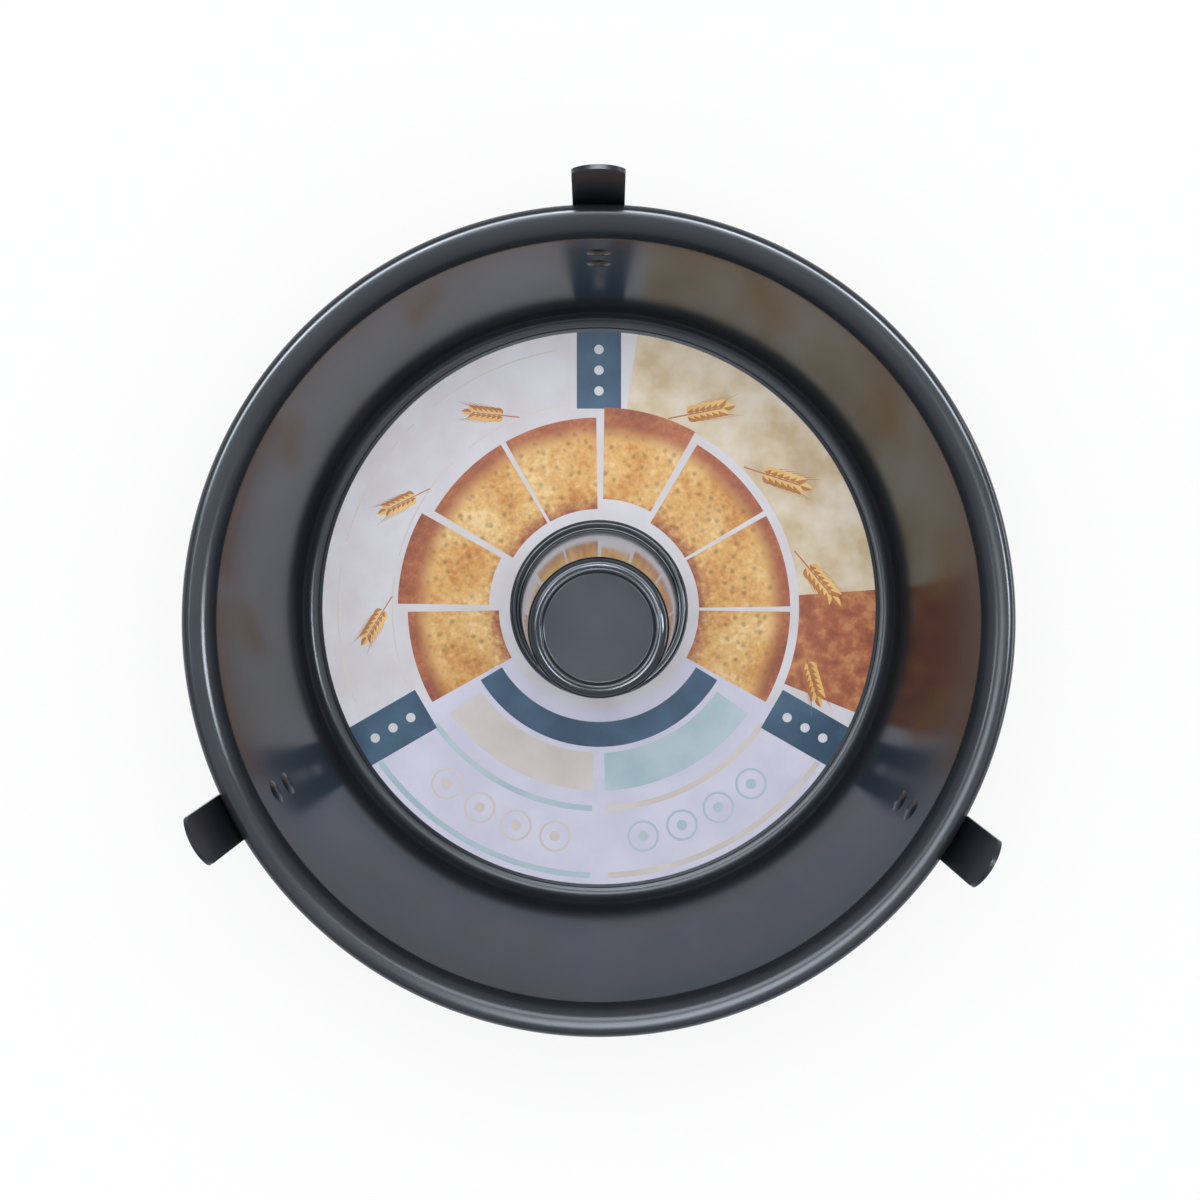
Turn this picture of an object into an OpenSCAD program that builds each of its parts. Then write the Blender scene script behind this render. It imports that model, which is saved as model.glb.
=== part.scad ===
// Two-piece angel food cake pan, 241 mm class: a coated steel wall with a rolled, wired rim
// and three cooling feet, a loose bottom with a closed centre tube, and a round paper card.
// The origin is on the table under the centre of the pan, and +Z is up.

/* [Pan wall] */
// Height from the table to the top of the rolled rim
pan_h = 95; // [80:0.5:110]
// Radius across the outside of the rolled rim
rim_r = 129; // [120:0.5:138]
// Radius of the flat floor, out to the start of the bottom corner
floor_r = 96; // [88:0.5:104]
// Width of the inward ledge that carries the loose bottom
ledge_w = 10; // [6:0.5:14]
// Thickness of the wall's steel sheet
sheet_t = 0.8; // [0.6:0.05:1.1]
// Inside radius of the bottom corner
corner_r = 5.5; // [2:0.25:7]
// Radius of the rounded shoulder below the rim
shoulder_r = 6.5; // [5:0.25:8]
// Flat on top of the rim, between shoulder and bead
rim_flat = 1.5; // [0.5:0.25:3]
// Outside radius of the rolled bead
bead_r = 2.8; // [2.5:0.1:3.4]
// How far the sheet curls round the wire, in degrees
curl_turn = 290; // [260:5:300]
// Clearance between the rim wire and the curl round it
wire_gap = 0.1; // [0.05:0.05:0.3]

/* [Cooling feet] */
// Number of feet, spread evenly round the rim
foot_count = 3; // [3:1:3]
// Direction of the first foot, in degrees
foot_azimuth = 90; // [0:5:355]
// How far each foot is riveted off its even place, in degrees
foot_offsets = [0, -2, -1.3];
// How far the feet's tips rise above the rim
foot_rise = 32; // [28:0.5:40]
// How far the feet's tips reach beyond the rim
foot_overhang = 8.8; // [6:0.2:14]
// Thickness of the feet's steel strip
foot_t = 1.5; // [1:0.1:1.8]
// Width of the feet's strip
foot_w = 16.2; // [13:0.2:20]
// Centreline radius of the foot's two bends beside the rim
foot_bend = 2.6; // [2:0.2:3.4]
// How much lower the rounded end of a foot is at its sides than in the middle
tip_drop = 4.5; // [1:0.25:6]
// Radius of the pad's lower corners
pad_corner_r = 3; // [1:0.5:5]
// Clearance between a foot's pad and the wall
pad_gap = 0.05; // [0.02:0.01:0.2]
// Clearance between a foot and the outside of the rim
foot_gap = 0.5; // [0.3:0.1:1]

/* [Rivets] */
// Drop from the rim's top to the upper rivet of a foot
rivet_drop = 20; // [15:0.5:24]
// Distance between a foot's two rivets
rivet_pitch = 13; // [10:0.5:20]
// Radius of a rivet's shank
shank_r = 2; // [1.5:0.1:2.5]
// Clearance between a shank and its hole
shank_gap = 0.05; // [0.02:0.01:0.1]
// Radius of a rivet's head
head_r = 3.8; // [3:0.1:4.5]
// Height of the low head inside the pan
inner_head_h = 0.6; // [0.4:0.1:1.2]
// Height of the upset head outside the foot
outer_head_h = 1.4; // [0.8:0.1:2]
// Clearance of the inner head from the curved wall
head_seat = 0.1; // [0.08:0.01:0.3]

/* [Loose bottom] */
// Thickness of the bottom plate
plate_t = 0.8; // [0.6:0.05:1.2]
// Clearance between the plate's edge and the bottom corner
plate_gap = 0.5; // [0.3:0.1:1.5]

/* [Centre tube] */
// Height from the table to the crest on top of the tube
tube_h = 120; // [100:0.5:122]
// Outside radius of the tube at its foot
tube_foot_r = 27; // [24:0.25:28]
// Outside radius of the tube at its shoulder
tube_top_r = 21.3; // [21:0.1:24]
// Thickness of the tube's sheet
tube_t = 0.8; // [0.6:0.05:1]
// Centreline radius of the bend at the tube's foot
tube_foot_bend = 1; // [0.8:0.1:1.1]
// Centreline radius of the tube's shoulder
tube_shoulder_bend = 2.4; // [1.8:0.1:2.8]

/* [Tube ring] */
// Outside radius of the ring that locks the tube to the plate
collar_r = 29.8; // [29.6:0.1:32]
// Thickness of the ring's sheet
collar_t = 0.6; // [0.5:0.05:0.8]
// Width of the ring over the tube's flange
collar_w = 1.6; // [1.3:0.1:1.8]
// Centreline radius of the ring's bend
collar_bend = 0.45; // [0.4:0.05:0.6]
// Clearance between the ring and the edge of the tube's flange
collar_gap = 0.2; // [0.15:0.05:0.3]

/* [Tube cap] */
// Outside radius of the crest round the cap
crest_r = 18.4; // [17.5:0.1:18.6]
// Width of the crest
crest_w = 1.3; // [1.25:0.05:1.5]
// Height of the crest above the tube's shoulder
crest_h = 1.1; // [0.9:0.1:1.6]
// Depth of the cap's flat panel below the crest
panel_d = 2.4; // [1.8:0.1:4]
// Radius of the corner where the panel's side wall ends
panel_r = 16.9; // [15:0.1:16.9]
// Thickness of the cap's sheet
cap_t = 0.5; // [0.4:0.05:0.5]
// Centreline radius of the bends in the cap
cap_bend = 0.38; // [0.3:0.02:0.38]

/* [Paper card] */
// Distance from the card's edge to the start of the bottom corner
card_margin = 2; // [1:0.25:8]
// Thickness of the card
card_t = 0.4; // [0.3:0.05:0.8]
// Clearance between the card's hole and the tube's ring
card_gap = 0.5; // [0.3:0.1:3]

/* [Hidden] */
round_fn = 180;
bend_fn = 96;
// Overlap of a straight leg with its bends, which keeps a sheet's section in one piece
lap = 0.02;

// Centre of the rolled bead, and the points where the corner's and the shoulder's arcs are struck from
bead_centre = [rim_r - bead_r, pan_h - bead_r];
corner_centre = [floor_r, sheet_t + corner_r];
shoulder_centre = [bead_centre[0] - rim_flat, pan_h - shoulder_r];

// The wall is the straight line that touches both arcs: its lean from the vertical, in degrees
arc_span = shoulder_centre - corner_centre;
wall_lean = acos((shoulder_r + corner_r) / norm(arc_span)) - atan2(arc_span[1], arc_span[0]);
wall_up = [sin(wall_lean), cos(wall_lean)];
wall_out = [cos(wall_lean), -sin(wall_lean)];

// Bends of the wall's section, on the sheet's centreline
corner_bend = corner_r + sheet_t / 2;
shoulder_bend = shoulder_r - sheet_t / 2;
wall_turn = 90 - wall_lean;
wall_path = [
  [floor_r - ledge_w, sheet_t / 2],
  [floor_r + corner_bend * tan(wall_turn / 2), sheet_t / 2],
  [shoulder_centre[0] - shoulder_bend * tan(wall_turn / 2), pan_h - sheet_t / 2],
  [bead_centre[0], pan_h - sheet_t / 2]
];

// Point of the wall's centreline at a height
function wall_at(z) = wall_path[1] + wall_up * (z - wall_path[1][1]) / wall_up[1];

// Section of a foot, on the strip's centreline: pad, step under the bead and leaning leg
pad_out = wall_out * (sheet_t / 2 + pad_gap + foot_t / 2);
upper_rivet_z = pan_h - rivet_drop;
rivet_zs = [upper_rivet_z, upper_rivet_z - rivet_pitch * wall_up[1]];
pad_margin = head_r + pad_corner_r;
step_rise = 3;
step_z = upper_rivet_z + head_r + foot_bend;
foot_top_z = pan_h + foot_rise;
foot_reach = rim_r + foot_overhang;
leg_start = [rim_r + foot_gap + foot_t / 2, step_z + step_rise];
leg_top = [foot_reach - foot_t / 2, foot_top_z];
foot_path = [
  wall_at(rivet_zs[1] - pad_margin) + pad_out,
  wall_at(step_z) + pad_out,
  leg_start,
  leg_top + along(leg_start, leg_top) * foot_t
];

// The card follows the floor that it lies on
card_r = floor_r - card_margin;

// Heights in the loose bottom
plate_top = sheet_t + plate_t;
flange_top = plate_top + tube_t;
tube_shoulder_z = tube_h - crest_h;

// Sections of the tube, its ring and its cap, on the sheets' centrelines
tube_path = [
  [collar_r - collar_t - collar_gap, plate_top + tube_t / 2],
  [tube_foot_r - tube_t / 2, plate_top + tube_t / 2],
  [tube_top_r - tube_t / 2, tube_shoulder_z - tube_t / 2],
  [crest_r - crest_w / 2, tube_shoulder_z - tube_t / 2]
];
collar_path = [
  [collar_r - collar_t / 2, plate_top],
  [collar_r - collar_t / 2, flange_top + collar_t / 2],
  [collar_r - collar_w, flange_top + collar_t / 2]
];
cap_path = [
  [crest_r - cap_t / 2, tube_shoulder_z],
  [crest_r - cap_t / 2, tube_h - cap_t / 2],
  [crest_r - crest_w + cap_t / 2, tube_h - cap_t / 2],
  [panel_r, tube_h - panel_d - cap_t / 2],
  [0, tube_h - panel_d - cap_t / 2]
];

// Colours, as the eye sees them
coated_steel = [0.33, 0.37, 0.43];
dark_steel = [0.16, 0.18, 0.21];
bare_steel = [0.62, 0.62, 0.60];
card_white = [0.87, 0.85, 0.87];

// Direction from one point to the next, and the direction to its left
function along(a, b) = (b - a) / norm(b - a);
function left_of(u) = [-u[1], u[0]];

// Angle turned at point b on the way from a to c, positive to the left
function turn_at(a, b, c) =
  let(u = along(a, b), v = along(b, c)) atan2(u[0] * v[1] - u[1] * v[0], u * v);

// Length that a bend takes from each of its two legs
function setback(a, b, c, bend) = bend * tan(abs(turn_at(a, b, c)) / 2);

function foot_turn(i) = foot_azimuth + i * 360 / foot_count + foot_offsets[i];

// Slice of the plane between two directions
module wedge(from, to, reach) {
  mid = (from + to) / 2;
  polygon([[0, 0], reach * [cos(from), sin(from)], reach * [cos(mid), sin(mid)], reach * [cos(to), sin(to)]]);
}

module ring(outer, inner) {
  difference() {
    circle(outer, $fn = bend_fn);
    circle(inner, $fn = bend_fn);
  }
}

// Section of a bent sheet: straight legs along a path, joined by true arcs
module bent_sheet(path, bends, t) {
  last = len(path) - 1;
  for (i = [0:last - 1]) {
    u = along(path[i], path[i + 1]);
    start = i == 0 ? 0 : setback(path[i - 1], path[i], path[i + 1], bends[i]);
    end = i + 1 == last ? 0 : setback(path[i], path[i + 1], path[i + 2], bends[i + 1]);
    a = path[i] + u * (i == 0 ? 0 : start - lap);
    b = path[i + 1] - u * (i + 1 == last ? 0 : end - lap);
    n = left_of(u) * t / 2;
    polygon([a + n, a - n, b - n, b + n]);
  }
  for (i = [1:last - 1]) {
    u = along(path[i - 1], path[i]);
    turn = turn_at(path[i - 1], path[i], path[i + 1]);
    inward = left_of(u) * sign(turn);
    centre = path[i] - u * setback(path[i - 1], path[i], path[i + 1], bends[i]) + inward * bends[i];
    from = atan2(-inward[1], -inward[0]);
    translate(centre)
      intersection() {
        ring(bends[i] + t / 2, bends[i] - t / 2);
        wedge(from, from + turn, 2 * (bends[i] + t));
      }
  }
}

// Stands a shape at a height on the wall, its own Z pointing out of the pan
module on_wall(i, z) {
  rotate([0, 0, foot_turn(i)])
    translate([wall_at(z)[0], 0, z])
      rotate([0, 90 + wall_lean, 0])
        children();
}

// Holes for the rivets of one foot, through the wall and the pad
module rivet_holes(i) {
  reach = 2 * (sheet_t + foot_t);
  for (z = rivet_zs)
    on_wall(i, z)
      translate([0, 0, -reach / 2])
        cylinder(r = shank_r + shank_gap, h = reach, $fn = bend_fn);
}

module pan_wall() {
  color(coated_steel)
    difference() {
      rotate_extrude($fn = round_fn)
        union() {
          bent_sheet(wall_path, [0, corner_bend, shoulder_bend, 0], sheet_t);
          translate(bead_centre)
            difference() {
              ring(bead_r, bead_r - sheet_t);
              wedge(90, 450 - curl_turn, 2 * bead_r);
            }
        }
      for (i = [0:foot_count - 1])
        rivet_holes(i);
    }
}

module rim_wire() {
  color(bare_steel)
    rotate_extrude($fn = round_fn)
      translate(bead_centre)
        circle(bead_r - sheet_t - wire_gap, $fn = bend_fn);
}

// Outline of a foot seen from outside: the tip is arched, and the pad's corners are round
module foot_outline() {
  low = foot_path[0][1];
  half_w = foot_w / 2;
  corner_y = half_w - pad_corner_r;
  tip_r = (half_w * half_w + tip_drop * tip_drop) / (2 * tip_drop);
  translate([-half_w, low + pad_corner_r])
    square([foot_w, foot_top_z - tip_drop - low - pad_corner_r]);
  intersection() {
    translate([0, foot_top_z - tip_r])
      circle(tip_r, $fn = round_fn);
    translate([-half_w, foot_top_z - tip_r])
      square([foot_w, 2 * tip_r]);
  }
  translate([-corner_y, low - foot_t])
    square([2 * corner_y, pad_corner_r + foot_t + 1]);
  for (side = [-1, 1])
    translate([side * corner_y, low + pad_corner_r])
      circle(pad_corner_r, $fn = bend_fn);
}

module foot(i) {
  color(dark_steel)
    difference() {
      rotate([0, 0, foot_turn(i)])
        intersection() {
          rotate([0, 0, 180])
            rotate_extrude($fn = round_fn)
              bent_sheet(foot_path, [0, foot_bend, foot_bend, 0], foot_t);
          rotate([90, 0, 90])
            linear_extrude(height = 2 * foot_reach)
              foot_outline();
        }
      rivet_holes(i);
    }
}

module foot_1() { foot(0); }
module foot_2() { foot(1); }
module foot_3() { foot(2); }

// Half section of a low dome that stands on the X axis
module dome(r, h) {
  ball_r = (r * r + h * h) / (2 * h);
  intersection() {
    translate([0, h - ball_r])
      circle(ball_r, $fn = round_fn);
    square([r, h]);
  }
}

module rivet(i, z) {
  inner_seat = sheet_t / 2 + head_seat;
  outer_seat = sheet_t / 2 + pad_gap + foot_t;
  color(coated_steel)
    on_wall(i, z)
      rotate_extrude($fn = bend_fn)
        union() {
          translate([0, -inner_seat])
            square([shank_r, inner_seat + outer_seat]);
          translate([0, outer_seat])
            dome(head_r, outer_head_h);
          translate([0, -inner_seat])
            mirror([0, 1])
              dome(head_r, inner_head_h);
        }
}

module rivet_1_upper() { rivet(0, rivet_zs[0]); }
module rivet_1_lower() { rivet(0, rivet_zs[1]); }
module rivet_2_upper() { rivet(1, rivet_zs[0]); }
module rivet_2_lower() { rivet(1, rivet_zs[1]); }
module rivet_3_upper() { rivet(2, rivet_zs[0]); }
module rivet_3_lower() { rivet(2, rivet_zs[1]); }

// Flat disc with a rounded edge and a hole under the tube, resting on the wall's ledge
module base_plate() {
  hole_r = tube_foot_r - tube_t;
  flat_r = floor_r - plate_gap - plate_t / 2;
  color(coated_steel)
    translate([0, 0, sheet_t])
      rotate_extrude($fn = round_fn)
        union() {
          translate([hole_r, 0])
            square([flat_r - hole_r, plate_t]);
          translate([flat_r, plate_t / 2])
            circle(plate_t / 2, $fn = bend_fn);
        }
}

module centre_tube() {
  color(coated_steel)
    rotate_extrude($fn = round_fn)
      bent_sheet(tube_path, [0, tube_foot_bend, tube_shoulder_bend, 0], tube_t);
}

module tube_collar() {
  color(coated_steel)
    rotate_extrude($fn = round_fn)
      bent_sheet(collar_path, [0, collar_bend, 0], collar_t);
}

module tube_cap() {
  color(coated_steel)
    rotate_extrude($fn = round_fn)
      bent_sheet(cap_path, [0, cap_bend, cap_bend, 2 * cap_bend, 0], cap_t);
}

// Thin round card round the tube's ring, lying on the plate
module label_card() {
  color(card_white)
    translate([0, 0, plate_top])
      difference() {
        cylinder(r = card_r, h = card_t, $fn = round_fn);
        translate([0, 0, -card_t])
          cylinder(r = collar_r + card_gap, h = 3 * card_t, $fn = round_fn);
      }
}

pan_wall();
rim_wire();
foot_1();
foot_2();
foot_3();
rivet_1_upper();
rivet_1_lower();
rivet_2_upper();
rivet_2_lower();
rivet_3_upper();
rivet_3_lower();
base_plate();
centre_tube();
tube_collar();
tube_cap();
label_card();
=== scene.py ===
# Angel food cake pan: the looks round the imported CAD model.
# Lengths in the dictionaries are millimetres, as on a drawing. Meshes are made in metres.
import math
import random

import bmesh
import bpy
from mathutils import Matrix, Vector
from mathutils.geometry import delaunay_2d_cdt


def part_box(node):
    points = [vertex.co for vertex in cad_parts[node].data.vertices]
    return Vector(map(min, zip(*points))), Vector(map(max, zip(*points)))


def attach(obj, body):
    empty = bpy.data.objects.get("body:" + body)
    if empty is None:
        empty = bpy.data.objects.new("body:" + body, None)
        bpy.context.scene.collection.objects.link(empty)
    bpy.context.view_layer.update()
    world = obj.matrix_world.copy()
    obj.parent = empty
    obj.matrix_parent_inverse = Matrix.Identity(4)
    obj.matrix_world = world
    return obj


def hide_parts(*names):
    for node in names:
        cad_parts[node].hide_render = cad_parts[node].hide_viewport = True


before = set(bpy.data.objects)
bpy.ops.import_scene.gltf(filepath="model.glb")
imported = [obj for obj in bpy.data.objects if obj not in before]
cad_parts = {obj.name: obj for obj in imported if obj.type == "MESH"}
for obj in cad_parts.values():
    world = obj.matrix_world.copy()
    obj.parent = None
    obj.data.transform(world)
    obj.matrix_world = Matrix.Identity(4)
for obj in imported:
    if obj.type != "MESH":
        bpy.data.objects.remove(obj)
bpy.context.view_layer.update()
print("frame loaded:", len(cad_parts), "nodes")


def mm(value):
    return value / 1000


def boxMm(node):
    low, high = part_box(node)
    return low * 1000, high * 1000


def linear(hexColour):
    # sRGB hex to the linear values that the shaders work in
    channels = [int(hexColour[i : i + 2], 16) / 255 for i in (1, 3, 5)]
    return tuple(c / 12.92 if c <= 0.04045 else ((c + 0.055) / 1.055) ** 2.4 for c in channels) + (1,)


def addNode(tree, kind, values=None, stops=None, **settings):
    # One node: its settings, its sockets set or linked, and a colour ramp's stops if it has any
    node = tree.nodes.new("ShaderNode" + kind)
    for name, value in settings.items():
        setattr(node, name, value)
    for name, value in (values or {}).items():
        if isinstance(value, bpy.types.NodeSocket):
            tree.links.new(value, node.inputs[name])
        else:
            node.inputs[name].default_value = value
    for index, (position, hexColour) in enumerate(stops or []):
        ramp = node.color_ramp.elements
        stop = ramp[index] if index < 2 else ramp.new(position)
        stop.position = position
        stop.color = linear(hexColour)
    return node


def newMaterial(name):
    material = bpy.data.materials.new(name)
    material.use_nodes = True
    tree = material.node_tree
    tree.nodes.clear()
    shader = addNode(tree, "BsdfPrincipled")
    addNode(tree, "OutputMaterial", {"Surface": shader.outputs["BSDF"]})
    return material, tree, shader


# Camera: 1 m above the table and 49 mm towards foot 1, aimed near the middle of the rim
view = {
    "eye": (1.22, 48.85, 1000.7),
    "aim": (0.43, 7.34, 95),
    "imagePixels": 1200,
    "focalPixels": 2941,
    "sensorWidth": 36,
    "farClip": 50000,
}


def makeCamera():
    data = bpy.data.cameras.new("viewCamera")
    data.sensor_width = view["sensorWidth"]
    data.lens = view["focalPixels"] * view["sensorWidth"] / view["imagePixels"]
    data.clip_end = mm(view["farClip"])
    camera = bpy.data.objects.new("viewCamera", data)
    bpy.context.scene.collection.objects.link(camera)
    eye = Vector(view["eye"]) / 1000
    ahead = (Vector(view["aim"]) / 1000 - eye).normalized()
    up = Vector((1, 0, 0)).cross(ahead).normalized()
    camera.location = eye
    camera.rotation_euler = Matrix((ahead.cross(up), up, -ahead)).transposed().to_euler()
    bpy.context.scene.camera = camera


makeCamera()
print("camera made")


# Non-stick coating on rolled steel: sprayed and baked, a dark body with metal flake in it.
# The flake gives the soft mirror, the body the dark grey that stays where nothing bright is reflected.
coating = {
    "colour": "#40454b",
    "colourThin": "#3b4046",
    # painted shade: the feet carry the wall's coat in a darker tone, standing in for the dark that their
    # leaning faces reflect
    "footShadedColour": "#2a2e35",
    "footRoughness": 0.32,
    "flakeShare": 0.6,  # metallic share of the coat
    "roughness": 0.19,
    "tubeRoughness": 0.11,
    "roughnessSpread": 0.04,
    "gritMm": 0.5,  # real flakes are finer, but would not show in the render
    "gritDepthMm": 0.004,
    "cloudMm": 35,
    "toneEdges": (0.35, 0.65),  # noise levels between which tone and roughness change
    "roughEdges": (0.3, 0.7),
}
wire = {
    "dieLineMm": 1.1,  # real die lines are finer, but would not show in the render
    "dark": "#8f8f8c",
    "bright": "#b9b8b4",
    "roughness": 0.35,
}


def coatedSteel(name, colour, roughness):
    # A dark mirror blurred by fine flakes: dim head-on, brighter towards a shape's edge
    material, tree, shader = newMaterial(name)
    place = addNode(tree, "TexCoord").outputs["Object"]
    cloud = addNode(
        tree, "TexNoise", {"Vector": place, "Scale": 1000 / coating["cloudMm"], "Detail": 3.0}
    ).outputs["Fac"]
    grit = addNode(
        tree, "TexNoise", {"Vector": place, "Scale": 1000 / coating["gritMm"], "Detail": 2.0}
    ).outputs["Fac"]
    low, high = coating["toneEdges"]
    tone = addNode(
        tree, "ValToRGB", {"Fac": cloud}, stops=[(low, coating["colourThin"]), (high, colour)]
    ).outputs["Color"]
    rough = addNode(
        tree,
        "MapRange",
        {
            "Value": cloud,
            "From Min": coating["roughEdges"][0],
            "From Max": coating["roughEdges"][1],
            "To Min": roughness - coating["roughnessSpread"] / 2,
            "To Max": roughness + coating["roughnessSpread"] / 2,
        },
    ).outputs["Result"]
    bump = addNode(
        tree, "Bump", {"Height": grit, "Distance": mm(coating["gritDepthMm"]), "Strength": 1.0}
    ).outputs["Normal"]
    tree.links.new(tone, shader.inputs["Base Color"])
    tree.links.new(rough, shader.inputs["Roughness"])
    tree.links.new(bump, shader.inputs["Normal"])
    shader.inputs["Metallic"].default_value = coating["flakeShare"]
    return material


def drawnSteel(name):
    # Bare drawn steel wire: bright, with fine lines left by the die
    material, tree, shader = newMaterial(name)
    place = addNode(tree, "TexCoord").outputs["Object"]
    dieLines = addNode(
        tree, "TexNoise", {"Vector": place, "Scale": 1000 / wire["dieLineMm"], "Detail": 2.0}
    ).outputs["Fac"]
    tone = addNode(
        tree, "ValToRGB", {"Fac": dieLines}, stops=[(0.3, wire["dark"]), (0.7, wire["bright"])]
    ).outputs["Color"]
    tree.links.new(tone, shader.inputs["Base Color"])
    shader.inputs["Metallic"].default_value = 1
    shader.inputs["Roughness"].default_value = wire["roughness"]
    return material


wallCoat = coatedSteel("satinNonStickCoat", coating["colour"], coating["roughness"])
# the feet's copy of the coat is darker than the wall's: painted shade
footCoat = coatedSteel("satinNonStickCoatOnStrip", coating["footShadedColour"], coating["footRoughness"])
tubeCoat = coatedSteel("smoothNonStickCoat", coating["colour"], coating["tubeRoughness"])
wireSteel = drawnSteel("drawnSteelWire")


# Sections of bent sheet, worked out as a tinsmith does: straight legs, bends and a curl
def unit(a, b):
    return (b - a).normalized()


def leftOf(u):
    return Vector((-u.y, u.x))


def turned(v, angle):
    c, s = math.cos(angle), math.sin(angle)
    return Vector((c * v.x - s * v.y, s * v.x + c * v.y))


def sheetLine(path, bends, arcStep=math.radians(6)):
    # Points along the sheet's middle, each with the normal to its left
    path = [Vector(p) for p in path]
    line = [(path[0], leftOf(unit(path[0], path[1])))]
    for before, here, after, bend in zip(path, path[1:], path[2:], bends[1:]):
        u, v = unit(before, here), unit(here, after)
        turn = math.atan2(u.x * v.y - u.y * v.x, u.dot(v))
        side = math.copysign(1, turn)
        centre = here - u * bend * math.tan(abs(turn) / 2) + leftOf(u) * side * bend
        steps = max(2, math.ceil(abs(turn) / arcStep))
        for k in range(steps + 1):
            normal = turned(leftOf(u), turn * k / steps)
            line.append((centre - normal * side * bend, normal))
    line.append((path[-1], leftOf(unit(path[-2], path[-1]))))
    return line


def curlLine(centre, radius, turn, arcStep=math.radians(6)):
    # A curl that starts at the top of its circle and runs outward and down
    steps = math.ceil(turn / arcStep)
    line = []
    for k in range(1, steps + 1):
        normal = turned(Vector((0, 1)), -turn * k / steps)
        line.append((Vector(centre) + normal * radius, normal))
    return line


def sheetOutline(line, thickness, onAxis=False, edgeSteps=6):
    # Closed outline of the sheet's section, with rounded edges
    half = thickness / 2
    outline = [p + n * half for p, n in line]

    def edge(point, normal, forward):
        for k in range(1, edgeSteps):
            a = math.pi * k / edgeSteps
            outline.append(point + normal * half * math.cos(a) + forward * half * math.sin(a))

    lastPoint, lastNormal = line[-1]
    if not onAxis:
        edge(lastPoint, lastNormal, -leftOf(lastNormal))
    outline.extend(p - n * half for p, n in reversed(line))
    firstPoint, firstNormal = line[0]
    edge(firstPoint, -firstNormal, leftOf(firstNormal))
    return outline


def finishMesh(bm, name, materials, sharpDegrees=40):
    bmesh.ops.recalc_face_normals(bm, faces=bm.faces)
    mesh = bpy.data.meshes.new(name)
    bm.to_mesh(mesh)
    bm.free()
    for material in materials:
        mesh.materials.append(material)
    mesh.shade_smooth()
    mesh.set_sharp_from_angle(angle=math.radians(sharpDegrees))
    piece = bpy.data.objects.new(name, mesh)
    bpy.context.scene.collection.objects.link(piece)
    return piece


def revolve(name, outline, material, segments=288):
    bm = bmesh.new()
    rings = []
    for k in range(segments):
        a = 2 * math.pi * k / segments
        c, s = math.cos(a), math.sin(a)
        rings.append([bm.verts.new((mm(p.x) * c, mm(p.x) * s, mm(p.y))) for p in outline])
    count = len(outline)
    for k in range(segments):
        here, there = rings[k], rings[(k + 1) % segments]
        for i in range(count):
            j = (i + 1) % count
            bm.faces.new((here[i], here[j], there[j], there[i]))
    bmesh.ops.remove_doubles(bm, verts=bm.verts, dist=mm(0.001))
    return finishMesh(bm, name, [material])


def fit(piece, body, slotName, *nodes):
    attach(piece, body)
    if nodes:
        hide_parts(*nodes)
    return piece


# The wall, with the sizes that the CAD boxes don't give
wall = {
    "sheet": 0.8,
    "floorR": 96,
    "ledge": 10,
    "cornerR": 5.5,
    "shoulderR": 6.5,
    "rimFlat": 1.5,
    "crestR": 14,  # the ledge rises a little towards the bead
    "ledgeSlope": 8,
    "beadR": 2.8,
    "curlTurn": 290,
}
wallHigh = boxMm("pan_wall")[1]
rimR = wallHigh.x
panH = wallHigh.z
beadCentre = Vector((rimR - wall["beadR"], panH - wall["beadR"]))
cornerCentre = Vector((wall["floorR"], wall["sheet"] + wall["cornerR"]))
shoulderCentre = Vector((beadCentre.x - wall["rimFlat"], panH - wall["shoulderR"]))
arcSpan = shoulderCentre - cornerCentre
arcRise = math.atan2(arcSpan.y, arcSpan.x)
wallLean = math.acos((wall["shoulderR"] + wall["cornerR"]) / arcSpan.length) - arcRise
wallTurn = math.pi / 2 - wallLean
halfSheet = wall["sheet"] / 2
cornerBend = wall["cornerR"] + halfSheet
shoulderBend = wall["shoulderR"] - halfSheet
wallPath = [
    (wall["floorR"] - wall["ledge"], halfSheet),
    (wall["floorR"] + cornerBend * math.tan(wallTurn / 2), halfSheet),
    (shoulderCentre.x - shoulderBend * math.tan(wallTurn / 2), panH - halfSheet),
    (beadCentre.x, panH - halfSheet),
]


def crownedPath():
    # The same wall, with its ledge sloped: the shoulder's corner slides down the wall to meet the slope
    slope = math.radians(wall["ledgeSlope"])
    crest = Vector(wallPath[3]) - Vector((wall["crestR"] * math.tan(slope / 2), 0))
    shoulder = Vector(wallPath[2])
    drop = (crest.x - shoulder.x) * math.tan(slope) / (1 - math.tan(slope) * math.tan(wallLean))
    lowered = shoulder - Vector((drop * math.tan(wallLean), drop))
    return [wallPath[0], wallPath[1], lowered, crest, wallPath[3]]


def makeWall():
    bends = [0, cornerBend, shoulderBend, wall["crestR"], 0]
    line = sheetLine(crownedPath(), bends, arcStep=math.radians(4))
    line += curlLine(beadCentre, wall["beadR"] - halfSheet, math.radians(wall["curlTurn"]))
    piece = revolve("panWall", sheetOutline(line, wall["sheet"]), wallCoat, segments=360)
    fit(piece, "pan", "wall_coating", "pan_wall")


makeWall()
print("wall made")


# Cooling feet: strip bent to pass under the bead, rolled to the wall's curve, with an arched end
foot = {
    "strip": 1.5,
    "width": 16.2,
    "bend": 2.6,
    "tipDrop": 4.5,
    "tipCornerR": 1.0,
    "stepRise": 3,
    "padGap": 0.05,
    "rimGap": 0.5,
    "rivetDrop": 20,
    "rivetPitch": 13,
    "headR": 3.8,
    "padCornerR": 3,
    "edgeRound": 0.35,
    "edgeSteps": 3,
    "edgeAngle": 50,
    "azimuths": {"foot_1": 90, "foot_2": 208, "foot_3": 328.7},  # riveted a little unevenly
}
footHigh = boxMm("foot_1")[1]


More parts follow.
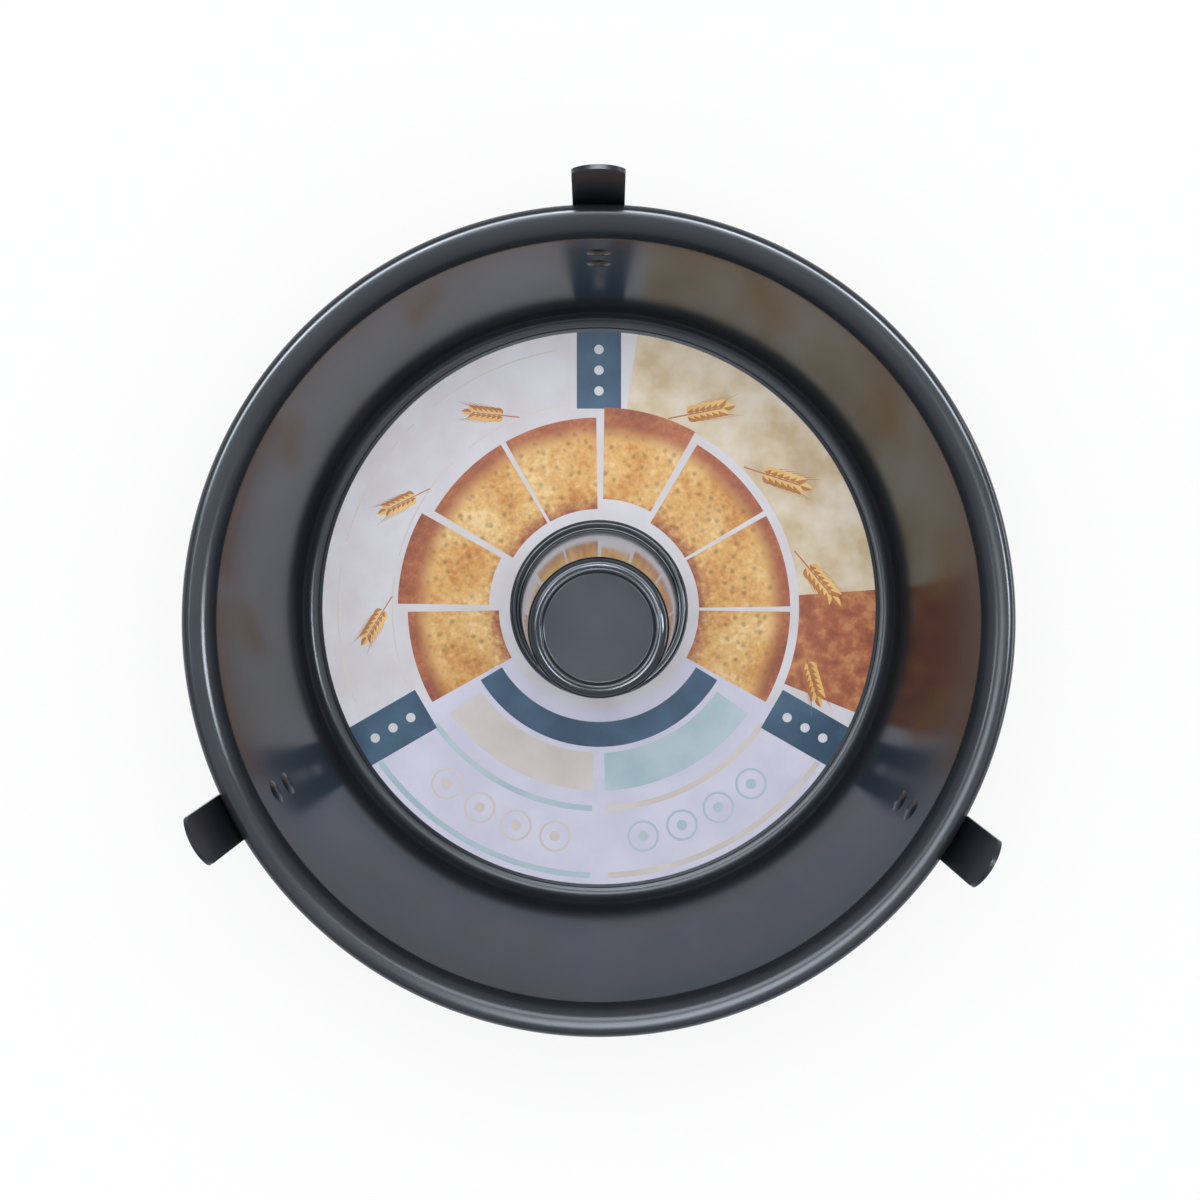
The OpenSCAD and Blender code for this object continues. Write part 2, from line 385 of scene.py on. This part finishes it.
def footLine():
    up = Vector((math.sin(wallLean), math.cos(wallLean)))
    out = Vector((math.cos(wallLean), -math.sin(wallLean)))
    half = foot["strip"] / 2
    padOut = out * (halfSheet + foot["padGap"] + half)

    def onWall(z):
        start = Vector(wallPath[1])
        return start + up * (z - start.y) / up.y

    upperZ = panH - foot["rivetDrop"]
    lowZ = upperZ - foot["rivetPitch"] * up.y - foot["headR"] - foot["padCornerR"]
    stepZ = upperZ + foot["headR"] + foot["bend"]
    path = [
        onWall(lowZ) + padOut,
        onWall(stepZ) + padOut,
        (rimR + foot["rimGap"] + half, stepZ + foot["stepRise"]),
        (footHigh.y - half, footHigh.z),
    ]
    return sheetLine(path, [0, foot["bend"], foot["bend"], 0])


def roundedOff(y, radius):
    # How far a corner of this radius takes back the strip's end at a distance from its middle
    into = max(0, abs(y) - (foot["width"] / 2 - radius))
    return radius - math.sqrt(max(0, radius**2 - into**2))


def makeFoot(node, azimuth, across=24, padRows=12, legRows=14):
    points = [p for p, _ in footLine()]
    halfWidth = foot["width"] / 2
    tipR = (halfWidth**2 + foot["tipDrop"] ** 2) / (2 * foot["tipDrop"])
    # the lean lifts the strip's outer edge above its middle
    tipZ = footHigh.z - foot["strip"] / 2 * unit(points[-2], points[-1]).x
    bm = bmesh.new()
    columns = []
    for k in range(across + 1):
        y = halfWidth * math.sin(math.pi * (k / across - 0.5))
        low = points[0].y + roundedOff(y, foot["padCornerR"])
        high = tipZ - tipR + math.sqrt(tipR**2 - y**2) - roundedOff(y, foot["tipCornerR"])
        bottomEnd = points[0].lerp(points[1], (low - points[0].y) / (points[1].y - points[0].y))
        topEnd = points[-2].lerp(points[-1], (high - points[-2].y) / (points[-1].y - points[-2].y))
        column = [bottomEnd.lerp(points[1], i / padRows) for i in range(padRows)]
        column += points[1:-1]
        column += [points[-2].lerp(topEnd, i / legRows) for i in range(1, legRows + 1)]
        columns.append([bm.verts.new((mm(math.sqrt(p.x**2 - y**2)), mm(y), mm(p.y))) for p in column])
    for left, right in zip(columns, columns[1:]):
        for i in range(len(left) - 1):
            bm.faces.new((left[i], right[i], right[i + 1], left[i + 1]))
    piece = finishMesh(bm, node + "_strip", [footCoat], sharpDegrees=60)
    solid = piece.modifiers.new("thickness", "SOLIDIFY")
    solid.thickness = mm(foot["strip"])
    solid.offset = 0
    solid.use_even_offset = True
    edge = piece.modifiers.new("roundedEdge", "BEVEL")
    edge.width = mm(foot["edgeRound"])
    edge.segments = foot["edgeSteps"]
    edge.limit_method = "ANGLE"
    edge.angle_limit = math.radians(foot["edgeAngle"])
    edge.harden_normals = True
    piece.rotation_euler = (0, 0, math.radians(azimuth))
    fit(piece, "pan", "foot_coating", node)


for footNode, azimuth in foot["azimuths"].items():
    makeFoot(footNode, azimuth)
print("feet made")


# Loose bottom: plate, tube, lock ring and cap
bottom = {
    "tubeFootR": 27,
    "tubeTopR": 21.3,
    "tubeSheet": 0.8,
    "tubeFootBend": 1,
    "tubeShoulderBend": 2.4,
    "ringSheet": 0.6,
    "ringWidth": 1.6,
    "ringBend": 0.45,
    "crestWidth": 1.3,
    "panelDepth": 2.4,
    "panelR": 16.9,
    "capSheet": 0.5,
    "capBend": 0.38,
    "dimpleR": 1.6,
    "dimpleDepth": 0.02,
}


def revolveSheet(name, path, bends, thickness, slotName, node, onAxis=False):
    line = sheetLine(path, bends)
    if onAxis:
        # the sheet crosses the axis level
        line[-1] = (line[-1][0], Vector((0, math.copysign(1, line[-1][1].y))))
    coat = tubeCoat if slotName == "tube_coating" else wallCoat
    piece = revolve(name, sheetOutline(line, thickness, onAxis), coat)
    fit(piece, "bottom", slotName, node)


def makeBottom():
    plateLow, plateHigh = boxMm("base_plate")
    tubeLow, tubeHigh = boxMm("centre_tube")
    ringLow, ringHigh = boxMm("tube_collar")
    capHigh = boxMm("tube_cap")[1]
    plateT = plateHigh.z - plateLow.z
    middle = plateLow.z + plateT / 2
    plate = [(bottom["tubeFootR"] - bottom["tubeSheet"], middle), (plateHigh.x - plateT / 2, middle)]
    revolveSheet("basePlate", plate, [0, 0], plateT, "plate_coating", "base_plate")

    half = bottom["tubeSheet"] / 2
    tube = [
        (tubeHigh.x, tubeLow.z + half),
        (bottom["tubeFootR"] - half, tubeLow.z + half),
        (bottom["tubeTopR"] - half, tubeHigh.z - half),
        (capHigh.x - bottom["crestWidth"] / 2, tubeHigh.z - half),
    ]
    bends = [0, bottom["tubeFootBend"], bottom["tubeShoulderBend"], 0]
    revolveSheet("centreTube", tube, bends, bottom["tubeSheet"], "tube_coating", "centre_tube")

    half = bottom["ringSheet"] / 2
    ring = [
        (ringHigh.x - half, ringLow.z),
        (ringHigh.x - half, ringHigh.z - half),
        (ringHigh.x - bottom["ringWidth"], ringHigh.z - half),
    ]
    bends = [0, bottom["ringBend"], 0]
    revolveSheet("tubeLockRing", ring, bends, bottom["ringSheet"], "tube_coating", "tube_collar")

    half = bottom["capSheet"] / 2
    panelZ = capHigh.z - bottom["panelDepth"] - half
    cap = [
        (capHigh.x - half, tubeHigh.z),
        (capHigh.x - half, capHigh.z - half),
        (capHigh.x - bottom["crestWidth"] + half, capHigh.z - half),
        (bottom["panelR"], panelZ),
        (bottom["dimpleR"], panelZ),
        (0, panelZ - bottom["dimpleDepth"]),
    ]
    bends = [0, bottom["capBend"], bottom["capBend"], 2 * bottom["capBend"], 2 * bottom["dimpleR"], 0]
    revolveSheet("tubeCap", cap, bends, bottom["capSheet"], "tube_coating", "tube_cap", onAxis=True)


makeBottom()
print("loose bottom made")


# Carried-over CAD pieces keep their shape and get their finish
def finishNode(nodeName, material):
    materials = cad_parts[nodeName].data.materials
    materials.clear()
    materials.append(material)


finishNode("rim_wire", wireSteel)
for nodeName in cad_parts:
    if nodeName.startswith("rivet_"):
        finishNode(nodeName, wallCoat)
print("wire and rivets finished")


# Paper card: offset print on coated card, an own design of a ring cake, ears of wheat and bands
# Azimuths are in degrees, from the right and counter-clockwise
card = {
    "holeGap": 0.5,
    "gridMm": 5,
    "gridJitter": 0.2,
    "gridMargin": 2,
    "waveMm": 0.25,
    "waveCount": 3,
    "wavePhase": 0.8,
    "inkRoughness": 0.5,
    "mottleMm": 18,
    "mottleEdges": (0.38, 0.62),
    "cakeInnerR": 34,
    "cakeOuterR": 65,
    "sliceGap": 0.7,
    "sliceGapR": 50,  # radius at which the gap between slices is measured
    "slices": 12,
    "served": (7, 8, 9, 10),
    "pulled": {2: 3.5, 5: 3.5},
    # ink, inner and outer radius (None runs past the card's edge), from and to azimuth
    "fields": [
        ("coolPaper", 34, None, 209, 331),
        ("field", 68, None, 4, 82),
        ("bake", 68, None, -22, 4),
        ("navy", 38.5, 47, 211, 329),
        ("beige", 49, 62, 215, 268),
        ("teal", 67, 69, 215, 268),
        ("teal", 90, 92, 215, 268),
        ("teal", 49, 62, 272, 325),
        ("beige", 67, 69, 272, 325),
        ("beige", 90, 92, 272, 325),
    ],
    "roundels": {"beige": (229, 239, 249, 259), "teal": (281, 291, 301, 311)},
    "roundelR": 79,
    "roundelRings": (5.4, 4.6, 1.8),
    "hairlines": ((70, 70.5), (88.5, 89)),
    "hairlineStarts": (99, 135, 171),
    "hairlineSpan": 30,
    "barAzimuths": (90, 210, 330),
    "barInnerR": 68,
    "barWidth": 15,
    "barLength": 40,
    "dots": (6, 13, 20),
    "dotR": 1.6,
    # azimuth, radius, tilt and scale of each ear of wheat
    "ears": [
        (12, 72, -62, 1.05),
        (40, 72, -58, 1.05),
        (66, 72, -55, 1.0),
        (-14, 73, -60, 0.95),
        (116, 73, 58, 0.85),
        (148, 73, 58, 0.85),
        (180, 73, 58, 0.85),
    ],
}
ear = {
    "stem": ((-0.25, -6), (0.25, -6), (0.2, 13), (-0.2, 13)),
    "grainWidth": 2.6,
    "grainLength": 4.2,
    "grainLean": 28,
    "rows": 6,
    "firstRow": 0.6,
    "rowPitch": 2.1,
    "rowHalf": 0.7,
    "awnStart": 4,
    "awnLength": 5.5,
    "awnLean": 0.55,
    "awnHalf": 0.14,
}
cakePrint = {
    "patchMm": 17,
    "fieldMm": 13,
    "bakeMm": 5,
    "crumbMm": 2.4,
    "poreMm": 3.4,
    "poreEdges": (0.1, 0.34),
    "poreShade": 0.55,
    # browning, from nothing to full: how ragged, then out from the outer edge and from the inner edge
    "raggedMm": 8,
    "outerCrust": (-3.5, 1.5),
    "innerCrust": (9, 4),
    "sponge": [(0.38, "#bd7c34"), (0.46, "#d39b50"), (0.54, "#e0b36c"), (0.63, "#f0d297")],
    "crust": [(0.4, "#7c3a1d"), (0.5, "#99502b"), (0.62, "#b57040")],
    "field": [(0.35, "#c9b18a"), (0.5, "#d8c7a9"), (0.66, "#e2d7c3")],
    "bake": [(0.36, "#84401f"), (0.5, "#a45731"), (0.64, "#c07f4a")],
}
inks = {
    "paper": ("#dcdbe2", "#d2cfd2"),
    "coolPaper": ("#d9d9ea", "#cfcfe2"),
    "navy": ("#0b3a57", "#2c5470"),
    "teal": ("#a3c0c9", "#b7ccd4"),
    "beige": ("#cfc6c0", "#d8d2cf"),
    "wheatLight": ("#edc77a", "#dba850"),
    "wheatDark": ("#b9762f", "#a0602a"),
}


def printedInk(name, stops, patchMm, detail=4.0, patchRoughness=0.5):
    # Offset print on coated card: ink that varies in soft patches, under a thin even gloss
    material, tree, shader = newMaterial(name)
    place = addNode(tree, "TexCoord").outputs["Object"]
    level = addNode(
        tree,
        "TexNoise",
        {"Vector": place, "Scale": 1000 / patchMm, "Detail": detail, "Roughness": patchRoughness},
    ).outputs["Fac"]
    tone = addNode(tree, "ValToRGB", {"Fac": level}, stops=stops).outputs["Color"]
    tree.links.new(tone, shader.inputs["Base Color"])
    shader.inputs["Roughness"].default_value = card["inkRoughness"]
    return material


def printedCake(name):
    # Print of a cut ring cake: golden sponge with fine pores, browned along its inner and outer edges
    material, tree, shader = newMaterial(name)
    place = addNode(tree, "TexCoord").outputs["Object"]
    patches = addNode(
        tree, "TexNoise", {"Vector": place, "Scale": 1000 / cakePrint["patchMm"], "Detail": 3.0}
    ).outputs["Fac"]
    mottle = addNode(
        tree,
        "TexNoise",
        {"Vector": place, "Scale": 1000 / cakePrint["crumbMm"], "Detail": 6.0, "Roughness": 0.7},
    ).outputs["Fac"]
    level = addNode(tree, "Math", {0: patches, 1: mottle}, operation="ADD").outputs["Value"]
    half = addNode(tree, "Math", {0: level, 1: 0.5}, operation="MULTIPLY").outputs["Value"]
    sponge = addNode(tree, "ValToRGB", {"Fac": half}, stops=cakePrint["sponge"]).outputs["Color"]
    pores = addNode(
        tree, "TexVoronoi", {"Vector": place, "Scale": 1000 / cakePrint["poreMm"]}
    ).outputs["Distance"]
    low, high = cakePrint["poreEdges"]
    shade = addNode(
        tree,
        "MapRange",
        {"Value": pores, "From Min": low, "From Max": high, "To Min": cakePrint["poreShade"]},
    ).outputs["Result"]
    crumb = addNode(
        tree, "Mix", {0: 1.0, 6: sponge, 7: shade}, data_type="RGBA", blend_type="MULTIPLY"
    ).outputs[2]
    radius = addNode(tree, "VectorMath", {0: place}, operation="LENGTH").outputs["Value"]
    ragged = addNode(
        tree, "Math", {0: mottle, 1: mm(cakePrint["raggedMm"]), 2: radius}, operation="MULTIPLY_ADD"
    ).outputs["Value"]
    crusts = []
    for edgeR, (none, full) in (
        (card["cakeOuterR"], cakePrint["outerCrust"]),
        (card["cakeInnerR"], cakePrint["innerCrust"]),
    ):
        values = {"Value": ragged, "From Min": mm(edgeR + none), "From Max": mm(edgeR + full)}
        crusts.append(addNode(tree, "MapRange", values).outputs["Result"])
    browned = addNode(
        tree, "Math", {0: crusts[0], 1: crusts[1]}, operation="MAXIMUM"
    ).outputs["Value"]
    crust = addNode(tree, "ValToRGB", {"Fac": half}, stops=cakePrint["crust"]).outputs["Color"]
    tone = addNode(tree, "Mix", {0: browned, 6: crumb, 7: crust}, data_type="RGBA").outputs[2]
    tree.links.new(tone, shader.inputs["Base Color"])
    shader.inputs["Roughness"].default_value = card["inkRoughness"]
    return material


def ringSector(r0, r1, fromDegrees, toDegrees, step=2.0):
    count = max(1, math.ceil((toDegrees - fromDegrees) / step))
    span = (toDegrees - fromDegrees) / count
    angles = [math.radians(fromDegrees + span * k) for k in range(count + 1)]
    outer = [Vector((r1 * math.cos(a), r1 * math.sin(a))) for a in angles]
    inner = [Vector((r0 * math.cos(a), r0 * math.sin(a))) for a in reversed(angles)]
    return outer + inner


def circlePoints(radius, count=240):
    return [turned(Vector((radius, 0)), 2 * math.pi * k / count) for k in range(count)]


def moved(points, azimuth, radius, tilt=0.0):
    # Takes a motif drawn upright at the origin to a place on the card, its foot towards the centre
    a = math.radians(azimuth)
    out = Vector((math.cos(a), math.sin(a)))
    return [out * radius + turned(p, a - math.pi / 2 + math.radians(tilt)) for p in points]


def grain(width, length):
    # One wheat grain as two halves, light and dark
    left = [Vector((0, 0))]
    for k in range(1, 6):
        t = k / 6
        left.append(Vector((-width / 2 * math.sin(math.pi * t**0.8), length * t)))
    left.append(Vector((0, length)))
    right = [Vector((-p.x, p.y)) for p in left]
    return left, list(reversed(right))


def wheatEar(azimuth, radius, tilt, scale):
    shapes = []

    def add(ink, points):
        shapes.append((ink, moved(points, azimuth, radius, tilt)))

    add("wheatDark", [Vector(p) * scale for p in ear["stem"]])
    light, dark = grain(ear["grainWidth"] * scale, ear["grainLength"] * scale)
    for row in range(ear["rows"]):
        for side in (-1, 1):
            lean = -side * math.radians(ear["grainLean"])
            base = Vector((side * ear["rowHalf"], ear["firstRow"] + row * ear["rowPitch"])) * scale
            for ink, half in (("wheatLight", light), ("wheatDark", dark)):
                add(ink, [base + turned(p, lean) for p in half])
            # the awn, a thin bristle out of the grain's tip
            tip = base + turned(Vector((0, ear["awnStart"] * scale)), lean)
            end = tip + turned(Vector((0, ear["awnLength"] * scale)), lean * ear["awnLean"])
            thin = leftOf(end - tip).normalized() * ear["awnHalf"]
            add("wheatDark", [tip - thin, tip + thin, end])
    top = Vector((0, ear["firstRow"] + ear["rows"] * ear["rowPitch"])) * scale
    for ink, half in (("wheatLight", light), ("wheatDark", dark)):
        add(ink, [top + p for p in half])
    return shapes


def cardArtwork(outerR):
    # Shapes in drawing order: a later one lies over an earlier one
    shapes = []
    for ink, r0, r1, fromDegrees, toDegrees in card["fields"]:
        shapes.append((ink, ringSector(r0, r1 or outerR + 1, fromDegrees, toDegrees)))
    for tone, azimuths in card["roundels"].items():
        for azimuth in azimuths:
            for radius, ink in zip(card["roundelRings"], (tone, "coolPaper", tone)):
                shapes.append((ink, moved(circlePoints(radius, 48), azimuth, card["roundelR"])))
    for r0, r1 in card["hairlines"]:
        for start in card["hairlineStarts"]:
            shapes.append(("beige", ringSector(r0, r1, start, start + card["hairlineSpan"])))
    # bars with dots
    half, length = card["barWidth"] / 2, card["barLength"]
    for azimuth in card["barAzimuths"]:
        bar = [Vector((-half, 0)), Vector((half, 0)), Vector((half, length)), Vector((-half, length))]
        shapes.append(("navy", moved(bar, azimuth, card["barInnerR"])))
        for y in card["dots"]:
            dot = [p + Vector((0, y)) for p in circlePoints(card["dotR"], 24)]
            shapes.append(("paper", moved(dot, azimuth, card["barInnerR"])))
    # ring cake, cut into slices
    step = 360 / card["slices"]
    gap = math.degrees(card["sliceGap"] / card["sliceGapR"])
    for k in range(card["slices"]):
        if k in card["served"]:
            continue
        shift = turned(Vector((card["pulled"].get(k, 0), 0)), math.radians((k + 0.5) * step))
        sector = ringSector(card["cakeInnerR"], card["cakeOuterR"], k * step + gap, (k + 1) * step - gap)
        shapes.append(("cake", [p + shift for p in sector]))
    for place in card["ears"]:
        shapes += wheatEar(*place)
    return shapes


def makeCard():
    low, high = boxMm("label_card")
    ringHigh = boxMm("tube_collar")[1]
    outerR = high.x
    holeR = ringHigh.x + card["holeGap"]
    thickness = high.z - low.z
    shapes = cardArtwork(outerR)
    names = list(inks) + ["cake", "field", "bake"]
    points, outlines = [], []
    for outline in [circlePoints(outerR), circlePoints(holeR, 120)] + [s[1] for s in shapes]:
        if sum(a.cross(b) for a, b in zip(outline, outline[1:] + outline[:1])) < 0:
            outline.reverse()
        outlines.append(list(range(len(points), len(points) + len(outline))))
        points += outline
    step = card["gridMm"]
    count = int(outerR / step)
    random.seed(7)
    for i in range(-count, count + 1):
        for j in range(-count, count + 1):
            x = i + random.uniform(-card["gridJitter"], card["gridJitter"])
            y = j + random.uniform(-card["gridJitter"], card["gridJitter"])
            p = Vector((x, y)) * step
            if holeR + card["gridMargin"] < p.length < outerR - card["gridMargin"]:
                points.append(p)
    verts, _, faces, _, _, origins = delaunay_2d_cdt(points, [], outlines, 0, 1e-4, True)
    bm = bmesh.new()

    def wave(p):
        # coated card never lies quite flat: a low swell that fades at the tube
        fade = (p.length - holeR) / (outerR - holeR)
        swell = math.sin(card["waveCount"] * math.atan2(p.y, p.x) + card["wavePhase"])
        return card["waveMm"] * fade * (1 + swell)

    tops = [bm.verts.new((mm(p.x), mm(p.y), mm(high.z + wave(p)))) for p in verts]
    lows = [bm.verts.new((mm(p.x), mm(p.y), mm(high.z + wave(p) - thickness))) for p in verts]
    edgeUse = {}
    for corners, inside in zip(faces, origins):
        if 0 not in inside or 1 in inside:
            continue
        ink = max((s - 2 for s in inside if s >= 2), default=-1)
        top = bm.faces.new([tops[i] for i in corners])
        top.material_index = names.index(shapes[ink][0]) if ink >= 0 else 0
        bm.faces.new([lows[i] for i in reversed(corners)])
        for a, b in zip(corners, corners[1:] + corners[:1]):
            edgeUse[(a, b)] = edgeUse.get((a, b), 0) + 1
    for a, b in edgeUse:
        if (b, a) not in edgeUse:
            bm.faces.new((tops[b], tops[a], lows[a], lows[b]))
    for vert in [v for v in bm.verts if not v.link_faces]:
        bm.verts.remove(vert)
    materials = []
    for ink, tones in inks.items():
        stops = list(zip(card["mottleEdges"], tones))
        materials.append(printedInk(ink + "Ink", stops, card["mottleMm"]))
    materials.append(printedCake("ringCakePrint"))
    materials.append(printedInk("softFieldPrint", cakePrint["field"], cakePrint["fieldMm"], 3.0, 0.55))
    materials.append(printedInk("bakedCrustPrint", cakePrint["bake"], cakePrint["bakeMm"], 6.0, 0.55))
    piece = finishMesh(bm, "labelCard", materials)
    fit(piece, "label", "printed_card", "label_card")


makeCard()
print("card made")


# Studio: white floor and world for what the camera and the metal see, plain soft light on the object
studio = {
    "floorHalf": 12,
    "floorColour": "#f2f2f2",
    "floorWhite": 0.8,
    "worldLight": 0.8,
    "worldColour": "#f6f7ff",
    # place, aim, width and depth in metres, beam in degrees, brightness, colour and use:
    # a "light" falls on matt surfaces, a "shine" only shows in the gloss
    "softboxes": {
        "key": ((0, 0.33, 1.87), (0, 0, 0), 1.4, 1.4, 180, 2.9, "#ffffff", "light"),
        "coolTop": ((0, -0.034, 0.72), (0, 0, 0.12), 0.17, 0.13, 24, 0.12, "#78acff", "shine"),
        "whiteTop": ((-0.12, 0.52, 1.9), (-0.12, 0, 0.1), 0.95, 0.56, 180, 4, "#ffffff", "shine"),
        "nearRim": ((0.03, -0.12, 0.75), (0.02, -0.115, 0.095), 0.22, 0.08, 26, 13, "#ffffff", "shine"),
        "rightBox": ((0.78, 0, 1.27), (0, 0, 0.095), 0.2, 0.34, 180, 20, "#ffffff", "shine"),
        "leftBox": ((-0.49, 0, 1.42), (0, 0, 0), 0.14, 0.14, 180, 9, "#ffffff", "shine"),
        "rightLow": ((1.48, 0.13, 0.21), (0, 0, 0), 1.2, 0.16, 180, 8, "#ffffff", "shine"),
    },
    # strips close round the far side of the rim and round the cap, each aimed at its own stretch:
    # azimuths, metres out and up from the stretch, then width, depth, beam and brightness
    "rimStrips": ((35, 58, 81, 104, 127, 150), 0.16, 0.25, (0.14, 0.15, 34, 19)),
    "capStrips": ((20, 90, 160, 230, 300), 0.07, 0.25, (0.07, 0.05, 15, 30)),
    # what the camera and the metal see round the set, by the sine of the height above the floor
    "sky": [(0.1, "#ffffff"), (0.27, "#8c8c8c"), (0.95, "#dcdcdc")],
}


def seenOrShown(tree):
    # 1 for rays from the camera and from glossy or clear surfaces, 0 for light on the object
    rays = addNode(tree, "LightPath").outputs
    glossy = addNode(
        tree, "Math", {0: rays["Is Camera Ray"], 1: rays["Is Glossy Ray"]}, operation="MAXIMUM"
    ).outputs["Value"]
    return addNode(
        tree, "Math", {0: glossy, 1: rays["Is Transmission Ray"]}, operation="MAXIMUM"
    ).outputs["Value"]


def makeWorld():
    world = bpy.data.worlds.new("studioWorld")
    world.use_nodes = True
    tree = world.node_tree
    tree.nodes.clear()
    light = addNode(
        tree, "Background", {"Color": linear(studio["worldColour"]), "Strength": studio["worldLight"]}
    ).outputs["Background"]
    direction = addNode(tree, "TexCoord").outputs["Generated"]
    upward = addNode(tree, "SeparateXYZ", {"Vector": direction}).outputs["Z"]
    level = addNode(tree, "ValToRGB", {"Fac": upward}, stops=studio["sky"]).outputs["Color"]
    shown = addNode(tree, "Background", {"Color": level, "Strength": 1.0}).outputs["Background"]
    mix = addNode(tree, "MixShader", {0: seenOrShown(tree), 1: light, 2: shown}).outputs["Shader"]
    addNode(tree, "OutputWorld", {"Surface": mix})
    bpy.context.scene.world = world


def makeFloor():
    bm = bmesh.new()
    bmesh.ops.create_grid(bm, x_segments=8, y_segments=8, size=studio["floorHalf"])
    mesh = bpy.data.meshes.new("studioFloor")
    bm.to_mesh(mesh)
    bm.free()
    material = bpy.data.materials.new("paleFloor")
    material.use_nodes = True
    tree = material.node_tree
    tree.nodes.clear()
    matt = addNode(tree, "BsdfDiffuse", {"Color": linear(studio["floorColour"])}).outputs["BSDF"]
    white = addNode(tree, "Emission", {"Color": (1, 1, 1, 1), "Strength": 1.0}).outputs["Emission"]
    share = addNode(
        tree, "Math", {0: seenOrShown(tree), 1: studio["floorWhite"]}, operation="MULTIPLY"
    ).outputs["Value"]
    mix = addNode(tree, "MixShader", {0: share, 1: matt, 2: white}).outputs["Shader"]
    addNode(tree, "OutputMaterial", {"Surface": mix})
    mesh.materials.append(material)
    floor = bpy.data.objects.new("studioFloor", mesh)
    bpy.context.scene.collection.objects.link(floor)


def makeSoftbox(name, place, aim, width, depth, beam, brightness, hexColour, use):
    data = bpy.data.lights.new(name, "AREA")
    data.shape = "RECTANGLE"
    data.size = width
    data.size_y = depth
    data.spread = math.radians(beam)
    # a narrow beam gathers the lamp's power, so it is given less
    half = data.spread / 2
    beamShare = 1 if beam == 180 else (math.tan(half) - half) / math.tan(half)
    data.energy = brightness * math.pi * width * depth * beamShare
    data.color = linear(hexColour)[:3]
    softbox = bpy.data.objects.new(name, data)
    softbox.location = place
    softbox.rotation_euler = (Vector(aim) - Vector(place)).to_track_quat("-Z", "Y").to_euler()
    softbox.visible_camera = False
    softbox.visible_diffuse = use == "light"
    softbox.visible_glossy = use == "shine"
    bpy.context.scene.collection.objects.link(softbox)


def makeStrips(name, radius, height, azimuths, out, up, lamp):
    for azimuth in azimuths:
        outward = Vector((math.cos(math.radians(azimuth)), math.sin(math.radians(azimuth)), 0))
        stretch = outward * mm(radius) + Vector((0, 0, mm(height)))
        place = stretch + outward * out + Vector((0, 0, up))
        makeSoftbox(f"{name}{azimuth}", place, stretch, *lamp, "#ffffff", "shine")


makeWorld()
makeFloor()
for boxName, spec in studio["softboxes"].items():
    makeSoftbox(boxName, *spec)
makeStrips("rimStrip", rimR, panH, *studio["rimStrips"])
makeStrips("capStrip", 0, boxMm("tube_cap")[1].z, *studio["capStrips"])
bpy.context.scene.view_settings.view_transform = "Standard"
print("studio made")
